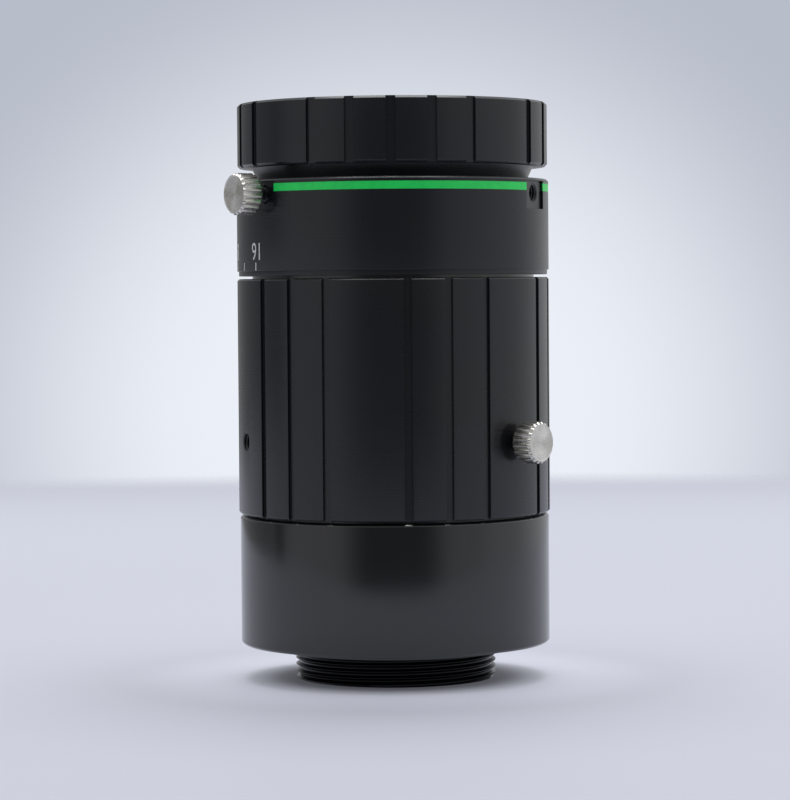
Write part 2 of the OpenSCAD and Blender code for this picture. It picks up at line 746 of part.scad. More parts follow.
module cam_slot() {
    steps = 18;
    half_w = cam_pin_r + 0.07;
    path = cam_path(steps);
    normals = [for (i = [0:steps])
        let (d = path[min(i + 1, steps)] - path[max(i - 1, 0)]) [-d[1], d[0]] / norm(d)];
    left = [for (i = [0:steps]) path[i] + half_w * normals[i]];
    right = [for (i = [steps:-1:0]) path[i] - half_w * normals[i]];
    polygon(concat(left, right));
    for (p = [path[0], path[steps]]) translate(p) circle(r = half_w, $fn = 24);
}

// Ring with a slot for each blade, and an arm with a fork that the drive pin turns
module iris_cam_ring() {
    half_w = drive_pin_r + run_gap;
    color(nickel * 0.6) difference() {
        union() {
            ring(cam_r, blade_out_r - 0.9, cam_z0, cam_z1);
            at(pin_az) intersection() {
                union() {
                    translate([-fork_half_w, -fork_out_r - cut, cam_z0])
                        cube([2 * fork_half_w, fork_out_r + cut - cam_r + 0.6, cam_t]);
                    translate([-fork_half_w, -fork_out_r - cut, fork_z0])
                        cube([2 * fork_half_w, fork_out_r + cut - fork_in_r, cam_z1 - fork_z0]);
                }
                blank(fork_out_r, fork_z0 - cut, cam_z1 + cut);
            }
        }
        for (i = [1:blade_count])
            at(blade_az + i * 360 / blade_count) rotate([0, 0, -90])
                translate([0, 0, cam_z0 - cut]) linear_extrude(cam_t + 2 * cut) cam_slot();
        at(pin_az) {
            translate([-half_w, -fork_out_r - cut, fork_z0 - cut])
                cube([2 * half_w, fork_out_r + cut - fork_in_r + cut, pin_z - fork_z0 + cut]);
            rod(pin_z, fork_in_r - cut, fork_out_r + cut, half_w);
        }
    }
}

module iris_retainer() {
    color(dull_black) difference() {
        ring(drum_bore_r - fix_gap, retainer_in_r, iris_retainer_z0, iris_retainer_z1);
        for (side = [0, 180])
            at(side) translate([0, -retainer_hole_set, iris_retainer_z0 - cut])
                cylinder(h = iris_retainer_t + 2 * cut, r = retainer_hole_r, $fn = 24);
    }
}

// Screwed into the drum from the rear, and guided in the rear barrel's bore
module rear_cell() {
    color(dull_black) rotate_extrude() polygon([
        [rear_thread_r, cell_z0], [cell_r, cell_z0], [cell_r, cell_flange_z0],
        [drum_bore_r - fix_gap, cell_flange_z0], [drum_bore_r - fix_gap, cell_z1],
        [flint_dish_r + 0.7, cell_z1], [flint_dish_r + 0.2, cell_seat_z],
        [rear_bore_r, cell_seat_z], [rear_bore_r, rear_edge_z + 0.1],
        [rear_thread_r, rear_edge_z + 0.1]]);
}

module rear_doublet_flint() {
    color(flint_glass)
        concave_back(rear_joint_z, rear_cement)
            concave_front(flint_z, flint_dish)
                blank(rear_lens_r, rear_joint_z - sag(rear_cement, rear_lens_r - 0.3), flint_rim_z);
}

module rear_doublet_crown() {
    color(crown_glass)
        convex_back(crown_back_z, crown_curve)
            convex_front(crown_z, rear_cement)
                blank(rear_lens_r, crown_back_z - cut, crown_z + cut);
}

module rear_spacer() {
    color(dull_black) ring(rear_bore_r - fix_gap, rear_stop_r, rear_spacer_z0, rear_spacer_z1);
}

module rear_lens() {
    color(crown_glass)
        convex_back(rear_back_z, rear_back_curve)
            convex_front(rear_z, rear_front_curve)
                blank(rear_lens_r, rear_back_z - cut, rear_z + cut);
}

mount_ring();
rear_barrel();
nameplate_ring();
green_line();
guide_screw();
iris_ring();
iris_drive_pin();
iris_lock_screw();
focus_ring();
carrier_ring();
focus_lock_screw();
lens_barrel();
focus_stop_pin();
front_retaining_ring();
front_lens();
front_spacer();
front_doublet_crown();
front_doublet_flint();
iris_base_plate();
iris_blade(1);  // iris_blade_1
iris_blade(2);  // iris_blade_2
iris_blade(3);  // iris_blade_3
iris_blade(4);  // iris_blade_4
iris_blade(5);  // iris_blade_5
iris_blade(6);  // iris_blade_6
iris_cam_ring();
iris_retainer();
rear_cell();
rear_doublet_flint();
rear_doublet_crown();
rear_spacer();
rear_lens();
rear_retaining_ring();
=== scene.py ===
"""Looks of a C-mount machine vision lens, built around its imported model. Metres, same frame."""

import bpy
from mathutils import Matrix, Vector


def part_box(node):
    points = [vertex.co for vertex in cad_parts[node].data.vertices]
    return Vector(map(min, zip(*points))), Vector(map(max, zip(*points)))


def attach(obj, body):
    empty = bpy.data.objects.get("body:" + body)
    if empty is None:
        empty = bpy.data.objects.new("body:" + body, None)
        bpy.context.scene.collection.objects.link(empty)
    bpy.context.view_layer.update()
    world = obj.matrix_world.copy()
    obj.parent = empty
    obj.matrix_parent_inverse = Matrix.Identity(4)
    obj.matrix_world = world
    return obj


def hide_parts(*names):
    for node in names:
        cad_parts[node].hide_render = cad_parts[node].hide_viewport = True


bl_info = {
    "name": "Machine vision lens",
    "version": (1, 0, 0),
    "blender": (4, 5, 0),
    "location": "3D View > Sidebar > Lens",
    "description": "Dresses the packed lens: threads, scale, knurled screws, glass and finishes",
    "category": "Object",
}

from math import asin, atan2, ceil, cos, degrees, hypot, pi, radians, sin

import bmesh
import bpy
from bpy.props import FloatProperty, FloatVectorProperty, IntProperty, PointerProperty
from mathutils import Matrix, Vector

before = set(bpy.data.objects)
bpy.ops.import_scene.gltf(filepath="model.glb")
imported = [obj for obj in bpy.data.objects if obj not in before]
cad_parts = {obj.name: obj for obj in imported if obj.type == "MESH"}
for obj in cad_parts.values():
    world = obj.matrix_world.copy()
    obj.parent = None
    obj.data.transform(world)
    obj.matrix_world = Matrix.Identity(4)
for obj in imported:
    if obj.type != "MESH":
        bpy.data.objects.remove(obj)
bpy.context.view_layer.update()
MM = 0.001

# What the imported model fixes, in millimetres and degrees. A ring has three lock holes, of which
# the spare ones hold no screw
RING_R = 19.75
DRILL_R, DRILL_FROM = 1.14, 17.2
LOCKS, LOCK_STEP = 3, 120
SPARE_HOLES = (1, 2)
IRIS_LOCK_AZ, IRIS_LOCK_Z = 50.2, 26.65
FOCUS_LOCK_AZ, FOCUS_LOCK_Z = -55.2, 57.4
RIM_LAND_AZ = 44.5
GROOVE_PITCH = 15
KNURL_STEP = 18
FLOOR_Z = -3.7
WIDE_OPEN_AZ = -117.5


def node_box(name):
    """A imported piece's lowest and highest height and its reach from the axis, in millimetres"""
    low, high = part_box(name)
    return low.z / MM, high.z / MM, max(-low.x, high.x) / MM


# Sizes and colours that a user would change

class LensSizes(bpy.types.PropertyGroup):
    """Sizes of the details that only the looks carry"""

    mount_pitch: FloatProperty(
        name="Mount thread pitch", description="Distance between two turns of the mount thread",
        default=25.4 / 32 * MM, unit="LENGTH", subtype="DISTANCE", precision=6)
    mount_depth: FloatProperty(
        name="Mount thread depth", description="Depth of the mount thread from crest to root",
        default=0.47 * MM, unit="LENGTH", subtype="DISTANCE", precision=6)
    filter_pitch: FloatProperty(
        name="Filter thread pitch", description="Distance between two turns of the filter thread",
        default=0.5 * MM, unit="LENGTH", subtype="DISTANCE", precision=6)
    screw_pitch: FloatProperty(
        name="Lock screw pitch", description="Distance between two turns of a lock screw's thread",
        default=0.4 * MM, unit="LENGTH", subtype="DISTANCE", precision=6)
    edge_round: FloatProperty(
        name="Edge rounding", description="Radius that the finish leaves on a turned edge",
        default=0.05 * MM, unit="LENGTH", subtype="DISTANCE", precision=6)
    digit_height: FloatProperty(
        name="Number height", description="Height of the numbers on the aperture scale",
        default=2.15 * MM, unit="LENGTH", subtype="DISTANCE", precision=6)
    lathe_steps: IntProperty(
        name="Lathe steps", description="Steps round a turned piece", default=240, min=48, max=720)


class LensFinish(bpy.types.PropertyGroup):
    """Colours of the finishes"""

    satin_black: FloatVectorProperty(
        name="Satin black", description="Bead-blasted black anodising on the rings",
        default=(0.0088, 0.0091, 0.0104), subtype="COLOR", min=0, max=1)
    gloss_black: FloatVectorProperty(
        name="Gloss black", description="Bright-turned black anodising on barrel and mount",
        default=(0.0042, 0.0043, 0.0048), subtype="COLOR", min=0, max=1)
    matt_black: FloatVectorProperty(
        name="Matt black", description="Glare-stopping black inside the lens",
        default=(0.007, 0.007, 0.0075), subtype="COLOR", min=0, max=1)
    green_line: FloatVectorProperty(
        name="Green line", description="Paint of the line round the nameplate ring",
        default=(0.012, 0.78, 0.125), subtype="COLOR", min=0, max=1)
    white_ink: FloatVectorProperty(
        name="White ink", description="Ink of the numbers and ticks",
        default=(0.74, 0.74, 0.76), subtype="COLOR", min=0, max=1)
    nickel: FloatVectorProperty(
        name="Nickel", description="Bare nickel of the lock screws",
        default=(0.76, 0.74, 0.69), subtype="COLOR", min=0, max=1)
    floor: FloatVectorProperty(
        name="Floor", description="Colour of the floor",
        default=(0.50, 0.515, 0.59), subtype="COLOR", min=0, max=1)


class StudioLight(bpy.types.PropertyGroup):
    """Levels of the studio"""

    tent: FloatProperty(
        name="Tent", description="Level of the light walls round the lens", default=1.0, min=0)
    top_power: FloatProperty(
        name="Top light", description="Power of the softbox over the lens", default=1.4, min=0,
        unit="POWER")
    camera_distance: FloatProperty(
        name="Camera distance", description="From the camera to the lens's axis",
        default=0.398, unit="LENGTH", subtype="DISTANCE")


# Shader maths

class Link:
    """A shader socket. Sums, products and powers of links add their Math nodes"""

    def __init__(self, tree, socket=None):
        self.tree = tree
        self.socket = socket

    def node(self, kind, settings=None, sockets=None, out=0):
        """Adds a node, with its settings first and then the values or links of its sockets"""
        made = self.tree.nodes.new(kind)
        for name, value in (settings or {}).items():
            setattr(made, name, value)
        for key, value in (sockets or {}).items():
            if isinstance(value, Link):
                self.tree.links.new(value.socket, made.inputs[key])
            else:
                made.inputs[key].default_value = value
        return Link(self.tree, made.outputs[out])

    def math(self, operation, *values):
        """Adds a Math node over links or numbers"""
        return self.node("ShaderNodeMath", {"operation": operation}, dict(enumerate(values)))

    def __add__(self, other):
        return self.math("ADD", self, other)

    __radd__ = __add__

    def __sub__(self, other):
        return self.math("SUBTRACT", self, other)

    def __rsub__(self, other):
        return self.math("SUBTRACT", other, self)

    def __mul__(self, other):
        return self.math("MULTIPLY", self, other)

    __rmul__ = __mul__

    def __pow__(self, other):
        return self.math("POWER", self, other)

    def between(self, low, high):
        """0 below low, 1 above high and smooth between them"""
        return self.node("ShaderNodeMapRange", {"interpolation_type": "SMOOTHSTEP"},
                         {"Value": self, "From Min": low, "From Max": high})

    def blend(self, first, second):
        """Mixes two colours, with this link as the factor"""
        return self.node("ShaderNodeMix", {"data_type": "RGBA"}, {0: self, 6: first, 7: second}, 2)

    def noise(self, scale, detail=2.0, stretch=(1, 1, 1)):
        """Noise over this place, with features about 1/scale metres wide"""
        place = self.node("ShaderNodeVectorMath", {"operation": "MULTIPLY"}, {0: self, 1: stretch})
        return self.node("ShaderNodeTexNoise", None,
                         {"Vector": place, "Scale": scale, "Detail": detail})

    def along(self, axis):
        """One coordinate of this place"""
        return self.node("ShaderNodeSeparateXYZ", None, {0: self}, "XYZ".index(axis))

    def from_axis(self):
        """Distance of this place from the Z axis"""
        x, y = self.along("X"), self.along("Y")
        return (x * x + y * y) ** 0.5


def material(name):
    """A new material with an empty tree, as (material, object place)"""
    made = bpy.data.materials.new(name)
    made.use_nodes = True
    made.node_tree.nodes.clear()
    place = Link(made.node_tree).node("ShaderNodeTexCoord", out="Object")
    return made, place


def finish_with(made, place, sockets):
    """Gives the material a Principled surface with these sockets"""
    surface(place, place.node("ShaderNodeBsdfPrincipled", None, sockets))
    return made


def surface(place, shader):
    """Joins a shader to the material's output"""
    out = place.tree.nodes.new("ShaderNodeOutputMaterial")
    place.tree.links.new(shader.socket, out.inputs["Surface"])


def rgba(colour, factor=1.0):
    """The colour times that factor, opaque"""
    return tuple(channel * factor for channel in colour) + (1.0,)


# Finishes

def anodised(name, colour, roughness, grain, lines, ior):
    """Black anodised aluminium: fine grain, faint lathe lines and a dye that varies a little"""
    made, place = material(name)
    cloud = place.noise(55, 3).between(0.3, 0.7)
    fleck = place.noise(2600, 2)
    rings = place.noise(260, 3, (0.1, 0.1, 60))
    bluer = tuple(a * b for a, b in zip(rgba(colour), (0.8, 0.95, 1.25, 1)))
    tint = cloud.blend(rgba(colour), bluer)
    worn = fleck.between(0.62, 0.8) * 0.35
    base = worn.blend(tint, rgba(colour, 1.9))
    rough = roughness + (place.noise(120, 2) - 0.5) * 0.08 + (rings - 0.5) * lines
    fine = place.node("ShaderNodeBump", None, {
        "Strength": grain, "Distance": 0.012 * MM, "Height": fleck})
    bump = place.node("ShaderNodeBump", None, {
        "Strength": lines, "Distance": 0.006 * MM, "Height": rings, "Normal": fine})
    return finish_with(made, place, {
        "Base Color": base, "Roughness": rough, "Normal": bump, "IOR": ior})


def flocked(name, colour):
    """Dull glare-stopping black with turned steps"""
    made, place = material(name)
    speck = place.noise(4200, 3)
    rings = place.noise(420, 2, (0.3, 0.3, 14))
    base = (speck * 0.6).blend(rgba(colour), rgba(colour, 2.2))
    bump = place.node("ShaderNodeBump", None, {
        "Strength": 0.6, "Distance": 0.03 * MM, "Height": speck + rings})
    return finish_with(made, place, {
        "Base Color": base, "Roughness": 0.62 + rings * 0.2, "Normal": bump})


def bare_metal(name, colour, roughness, cut=0.008, seat=None):
    """Turned metal. Its fine rings run round the lens's axis, or round a screw's axis where seat
    gives that screw's azimuth and height"""
    made, place = material(name)
    local = place
    if seat:
        turn = outward(*seat).inverted()
        local = place.node("ShaderNodeMapping", {"vector_type": "POINT"}, {
            "Vector": place, "Location": turn.to_translation(), "Rotation": turn.to_euler()})
    ring_pitch = 0.11 * MM
    rings = place.math("SINE", local.from_axis() * (2 * pi / ring_pitch))
    smudge = place.noise(700, 3)
    scratch = place.noise(900, 4, (1, 1, 6))
    base = smudge.between(0.35, 0.75).blend(rgba(colour, 0.86), rgba(colour, 1.08))
    bump = place.node("ShaderNodeBump", None, {
        "Strength": 0.6, "Distance": cut * MM, "Height": rings * 0.5 + scratch * 0.4})
    return finish_with(made, place, {
        "Base Color": base, "Metallic": 1.0, "Normal": bump,
        "Roughness": roughness + (smudge - 0.5) * 0.16 + scratch * 0.05})


def paint(name, colour, roughness):
    """A thin coat of ink or enamel with a slight unevenness"""
    made, place = material(name)
    patch = place.noise(900, 3)
    base = patch.between(0.3, 0.8).blend(rgba(colour, 0.93), rgba(colour, 1.05))
    bump = place.node("ShaderNodeBump", None, {
        "Strength": 0.25, "Distance": 0.01 * MM, "Height": place.noise(2400, 2)})
    return finish_with(made, place, {
        "Base Color": base, "Roughness": roughness + (patch - 0.5) * 0.1, "Normal": bump})


def coated_glass(name, violet, green, ior):
    """Lens glass whose coating reflects violet head on and green at the rim. Its index is low,
    because a coated surface reflects under 1 per cent"""
    made, place = material(name)
    dust = place.noise(1500, 2).between(0.72, 0.9)
    body = place.node("ShaderNodeBsdfPrincipled", None, {
        "Base Color": (0.97, 0.985, 0.975, 1), "Roughness": dust * 0.02, "IOR": ior,
        "Transmission Weight": 1.0})
    inner = place.node("ShaderNodeBsdfPrincipled", None, {
        "Base Color": violet, "Metallic": 1.0, "Roughness": 0.03})
    outer = place.node("ShaderNodeBsdfPrincipled", None, {
        "Base Color": green, "Metallic": 1.0, "Roughness": 0.03})
    facing = place.node("ShaderNodeLayerWeight", None, {"Blend": 0.35}, 1)
    coat = place.node("ShaderNodeMixShader", None, {0: facing.between(0.1, 0.6), 1: inner, 2: outer})
    mixed = place.node("ShaderNodeMixShader", None, {0: 0.009 + facing * 0.09, 1: body, 2: coat})
    surface(place, mixed)
    return made


def blued_steel(name):
    """Thin rolled steel of the iris blades, blued, with rolling marks"""
    made, place = material(name)
    rolled = place.noise(700, 3, (1, 9, 1))
    cloud = place.noise(260, 2)
    base = cloud.blend((0.028, 0.030, 0.036, 1), (0.055, 0.056, 0.060, 1))
    bump = place.node("ShaderNodeBump", None, {
        "Strength": 0.3, "Distance": 0.005 * MM, "Height": rolled})
    return finish_with(made, place, {
        "Base Color": base, "Metallic": 0.85, "Roughness": 0.36 + rolled * 0.14, "Normal": bump})


# Modelling

def outward(azimuth, height):
    """Lays a piece that was built along +Z at a height, pointing away from the lens's axis"""
    return (Matrix.Rotation(radians(azimuth), 4, "Z") @ Matrix.Translation((0, 0, height * MM))
            @ Matrix.Rotation(radians(90), 4, "X"))


def profile(bm, points, rounded=(), radius=0.05, closed=True, azimuth=0.0):
    """Draws (radius, height) points as a wire, and rounds the corners whose index is listed"""
    turn = Matrix.Rotation(radians(azimuth), 4, "Z")
    verts = [bm.verts.new(turn @ Vector((0, -r * MM, z * MM))) for r, z in points]
    for pair in list(zip(verts, verts[1:])) + ([(verts[-1], verts[0])] if closed else []):
        bm.edges.new(pair)
    if rounded:
        bmesh.ops.bevel(bm, geom=[verts[i] for i in rounded], offset=radius * MM, segments=3,
                        profile=0.5, affect="VERTICES", clamp_overlap=True, material=-1)
    return [e for e in bm.edges if not e.link_faces]


def lathe(bm, edges, stops=None, steps=240):
    """Spins a wire right round, or from stop to stop"""
    wire = list(dict.fromkeys(v for e in edges for v in e.verts)) + list(edges)
    if stops is None:
        bmesh.ops.spin(bm, geom=wire, axis=(0, 0, 1), cent=(0, 0, 0), angle=2 * pi, steps=steps,
                       use_merge=True)
    else:
        last = wire
        for a, b in zip(stops, stops[1:]):
            last = bmesh.ops.spin(bm, geom=last, axis=(0, 0, 1), cent=(0, 0, 0),
                                  angle=radians(b - a), steps=1)["geom_last"]
    bmesh.ops.remove_doubles(bm, verts=bm.verts, dist=1e-7)
    bmesh.ops.recalc_face_normals(bm, faces=bm.faces)


def thread(bm, major, minor, pitch, z0, z1, back, steps, chamfer=0.0, inner=False):
    """A closed threaded sleeve: its flanks wind from z0 to z1 and its back is a plain cylinder"""
    part = bmesh.new()
    crest, root = (minor, major) if inner else (major, minor)
    points = [(root, 0), (root, 0.11 * pitch), (crest, 0.45 * pitch), (crest, 0.56 * pitch),
              (root, 0.9 * pitch), (root, pitch)]
    turns = int(ceil((z1 - z0) / pitch)) + 3
    start = z0 - 2 * pitch
    verts = [part.verts.new((0, -r * MM, (start + z) * MM)) for r, z in points]
    wire = verts + [part.edges.new(pair) for pair in zip(verts, verts[1:])]
    bmesh.ops.spin(part, geom=wire, axis=(0, 0, 1), cent=(0, 0, 0), angle=2 * pi, steps=steps,
                   dvec=(0, 0, pitch * MM / steps))
    turn = part.verts[:] + part.edges[:] + part.faces[:]
    for i in range(1, turns):
        copied = bmesh.ops.duplicate(part, geom=turn)["geom"]
        bmesh.ops.translate(part, vec=(0, 0, i * pitch * MM),
                            verts=[v for v in copied if isinstance(v, bmesh.types.BMVert)])
    bmesh.ops.remove_doubles(part, verts=part.verts, dist=1e-6)
    for height, side in ((z0, -1), (z1, 1)):
        bmesh.ops.bisect_plane(part, geom=part.verts[:] + part.edges[:] + part.faces[:], dist=1e-8,
                               plane_co=(0, 0, height * MM), plane_no=(0, 0, side),
                               clear_outer=True)
    if chamfer:
        for v in part.verts:
            reach = hypot(v.co.x, v.co.y)
            limit = (major - chamfer + max(0.0, v.co.z / MM - z0)) * MM
            if reach > limit:
                v.co.x *= limit / reach
                v.co.y *= limit / reach
    rims = []
    for height in (z0, z1):
        rim = [e for e in part.edges if e.is_boundary
               and all(abs(v.co.z - height * MM) < 1e-7 for v in e.verts)]
        made = bmesh.ops.extrude_edge_only(part, edges=rim)["geom"]
        for v in (item for item in made if isinstance(item, bmesh.types.BMVert)):
            reach = hypot(v.co.x, v.co.y)
            v.co.x *= back * MM / reach
            v.co.y *= back * MM / reach
        rims += [item for item in made if isinstance(item, bmesh.types.BMEdge) and item.is_boundary
                 and all(abs(hypot(v.co.x, v.co.y) - back * MM) < 1e-7 for v in item.verts)]
    bmesh.ops.bridge_loops(part, edges=rims)
    bmesh.ops.recalc_face_normals(part, faces=part.faces)
    join(bm, part)


def placed(name, data):
    """A new object with this data, in the scene"""
    made = bpy.data.objects.new(name, data)
    bpy.context.scene.collection.objects.link(made)
    return made


def join(bm, part, matrix=None):
    """Adds another bmesh to this one"""
    if matrix is not None:
        bmesh.ops.transform(part, matrix=matrix, verts=part.verts)
    carrier = bpy.data.meshes.new("carrier")
    part.to_mesh(carrier)
    part.free()
    bm.from_mesh(carrier)
    bpy.data.meshes.remove(carrier)


def coat_after(bm, first):
    """Gives the faces that were added from this one on the piece's second finish"""
    bm.faces.ensure_lookup_table()
    for face in bm.faces[first:]:
        face.material_index = 1


def piece(name, bm, finishes, body, nodes=(), sharp=32):
    """Makes the finished object, smooth but for its sharp edges, and sets it on its body. Faces
    take the first of the named finishes, or the one that their material index says"""
    mesh = bpy.data.meshes.new(name)
    bm.to_mesh(mesh)
    bm.free()
    mesh.shade_smooth()
    mesh.set_sharp_from_angle(angle=radians(sharp))
    made = placed(name, mesh)
    for finish in finishes:
        mesh.materials.append(finish_named(finish))
    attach(made, body)
    if nodes:
        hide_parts(*nodes)


def in_order(items, key):
    """Sorts a mesh's corners, edges or faces. A cut gives them in another order each run, and
    what follows depends on their order"""
    rank = {item: place for place, item in enumerate(sorted(items, key=key))}
    items.sort(key=rank.get)
    items.index_update()


def carve(bm, cutters):
    """Cuts the cutters' shapes out of a piece"""
    objects = []
    for label, part in (("blank", bm), ("tool", cutters)):
        mesh = bpy.data.meshes.new(label)
        part.to_mesh(mesh)
        objects.append(placed(label, mesh))
    cut = objects[0].modifiers.new("cut", "BOOLEAN")
    cut.operation = "DIFFERENCE"
    cut.solver = "EXACT"
    cut.object = objects[1]
    shape = bpy.data.meshes.new_from_object(
        objects[0].evaluated_get(bpy.context.evaluated_depsgraph_get()))
    bm.clear()
    bm.from_mesh(shape)
    in_order(bm.verts, lambda v: v.co[:])
    in_order(bm.edges, lambda e: sorted(v.index for v in e.verts))
    in_order(bm.faces, lambda f: sorted(v.index for v in f.verts))
    bmesh.ops.remove_doubles(bm, verts=bm.verts, dist=1e-6)
    bmesh.ops.dissolve_degenerate(bm, dist=1e-6, edges=bm.edges)
    cutters.free()
    bpy.data.meshes.remove(shape)
    for item in objects:
        mesh = item.data
        bpy.data.objects.remove(item)
        bpy.data.meshes.remove(mesh)


def block(bm, azimuth, radius, height, sides):
    """A block with its centre on that radius. Its sides run across, outward and upward"""
    part = bmesh.new()
    bmesh.ops.create_cube(part, size=1)
    bmesh.ops.scale(part, vec=Vector(sides) * MM, verts=part.verts)
    bmesh.ops.translate(part, vec=(0, -radius * MM, height * MM), verts=part.verts)
    join(bm, part, Matrix.Rotation(radians(azimuth), 4, "Z"))


def hole_tool(cutters, azimuth, height, from_r, to_r, radius, sink=0.0):
    """A drill across the axis, with a countersink at the outer face"""
    part = bmesh.new()
    past = 0.3
    points = [(0, from_r), (radius, from_r), (radius, to_r - sink),
              (radius + sink + past, to_r + past), (0, to_r + past)]
    lathe(part, profile(part, points, closed=False), steps=48)
    join(cutters, part, outward(azimuth, height))


def hole_thread(bm, azimuth, height, from_r, to_r, pitch):
    """Threaded lining of a screw hole"""
    part = bmesh.new()
    root, crest, back = 1.13, 1.0, 1.16
    thread(part, root, crest, pitch, from_r, to_r, back, steps=32, inner=True)
    join(bm, part, outward(azimuth, height))


def groove_edge(width, depth):
    """A groove's section from outside to its floor: (distance from its middle, depth)"""
    half = width / 2
    return [(half + 0.08, 0), (half + 0.03, 0.01), (half, 0.045), (half - 0.006, depth - 0.02),
            (half - 0.03, depth)]


def groove_stops(land_az, group, radius, edge):
    """Azimuths for a grooved ring: close together at each groove's walls, and even steps between"""
    near = [degrees(off / radius) for off, _ in edge]
    stops = []
    for i in range(360 // GROOVE_PITCH):
        az = land_az + i * GROOVE_PITCH
        if i % (group + 1):
            stops += [az - off for off in near] + [az] + [az + off for off in reversed(near)]
        else:
            stops.append(az)
        start = stops[-1]
        end = az + GROOVE_PITCH
        if (i + 1) % (360 // GROOVE_PITCH) % (group + 1):
            end -= near[0]
        count = max(2, round((end - start) / 1.5))
        stops += [start + (end - start) * k / count for k in range(1, count)]
    return stops + [land_az + 360]


def cut_grooves(bm, land_az, group, radius, edge, z0, z1):
    """Draws the skin of a ring in to the flat floors of its grip grooves"""
    for v in bm.verts:
        reach = hypot(v.co.x, v.co.y) / MM
        if reach < radius - 0.7 or not z0 - 0.01 < v.co.z / MM < z1 + 0.01:
            continue
        turn = (degrees(atan2(v.co.x, -v.co.y)) - land_az) / GROOVE_PITCH
        near = round(turn)
        angle = radians(abs(turn - near) * GROOVE_PITCH)
        off = angle * radius
        if near % (group + 1) == 0 or off > edge[0][0]:
            continue
        drop = edge[-1][1]
        for (out, low), (inner, high) in zip(edge, edge[1:]):
            if off > inner - 1e-4:
                drop = low + (high - low) * min(max((out - off) / (out - inner), 0), 1)
                break
        new = min(reach, (radius - drop) / cos(angle))
        v.co.x *= new / reach
        v.co.y *= new / reach


def finish_named(name):
    """The finish of that name, made once. Each line of the table gives the function that makes it
    and what that takes after the name"""
    if name in bpy.data.materials:
        return bpy.data.materials[name]
    tone = bpy.context.scene.lens_finish
    thread_black = tuple(0.5 * channel for channel in tone.gloss_black)
    make, *values = {
        "satin_anodised": (anodised, tone.satin_black, 0.28, 0.3, 0.05, 1.5),
        "gloss_anodised": (anodised, tone.gloss_black, 0.13, 0.1, 0.05, 1.7),
        "thread_anodised": (anodised, thread_black, 0.2, 0.1, 0.05, 1.27),
        "glare_stop": (flocked, tone.matt_black),
        "green_enamel": (paint, tone.green_line, 0.42),
        "white_ink": (paint, tone.white_ink, 0.55),
        "blued_steel": (blued_steel,),
        "turned_steel": (bare_metal, (0.42, 0.42, 0.43), 0.3),
        # The lock screws' shanks take a dark steel: painted shade, for the shadow between each head
        # and its ring
        "screw_thread": (bare_metal, (0.05, 0.05, 0.055), 0.4),
        "turned_brass": (bare_metal, (0.46, 0.34, 0.16), 0.34),
        "iris_lock_nickel": (bare_metal, tone.nickel, 0.24, 0.022, (IRIS_LOCK_AZ, IRIS_LOCK_Z)),
        "focus_lock_nickel": (bare_metal, tone.nickel, 0.24, 0.022, (FOCUS_LOCK_AZ, FOCUS_LOCK_Z)),
        "crown_glass": (coated_glass, (0.36, 0.16, 0.62, 1), (0.12, 0.46, 0.34, 1), 1.2),
        "flint_glass": (coated_glass, (0.52, 0.28, 0.16, 1), (0.20, 0.30, 0.56, 1), 1.24),
    }[name]
    return make(name, *values)


def sector(bm, points, from_az, to_az):
    """Sweeps a closed profile between two azimuths, and closes its ends"""
    part = bmesh.new()
    edges = profile(part, points, azimuth=from_az)
    count = max(2, round((to_az - from_az) / 1.5))
    stops = [from_az + (to_az - from_az) * k / count for k in range(count + 1)]
    lathe(part, edges, stops)
    ends = [e for e in part.edges if e.is_boundary]
    bmesh.ops.holes_fill(part, edges=ends, sides=len(points))
    bmesh.ops.recalc_face_normals(part, faces=part.faces)
    join(bm, part)


def chamfered(outer, low, high, chamfer):
    """Rows of a ring's skin from its lower edge to its upper, close together on the chamfers"""
    rows = (0, 0.06, 0.14, 0.24, chamfer)
    up = [(outer - chamfer + d, low + d) for d in rows]
    return up + [(r, high - (z - low)) for r, z in reversed(up)]


class LENS_OT_mount(bpy.types.Operator):
    """Mount ring with its fine thread"""

    bl_idname = "lens.mount"
    bl_label = "Mount ring"

    def execute(self, context):
        size = context.scene.lens_sizes
        low, high, flange = node_box("mount_ring")
        bore, crest, spigot, flange_h = 11.3, 12.7, 14.0, 0.8
        bm = bmesh.new()
        wire = profile(bm, [(bore, 0), (flange, 0), (flange, flange_h), (spigot, flange_h),
                            (spigot, high), (bore, high)], (1, 2), size.edge_round / MM)
        lathe(bm, wire, steps=size.lathe_steps)
        turned = len(bm.faces)
        thread(bm, crest, crest - size.mount_depth / MM, size.mount_pitch / MM, low, 0.02, bore,
               steps=180, chamfer=0.35)
        coat_after(bm, turned)
        piece("mount_ring_threaded", bm, ["gloss_anodised", "thread_anodised"], "fixed_barrel",
              ["mount_ring"], sharp=40)
        return {"FINISHED"}


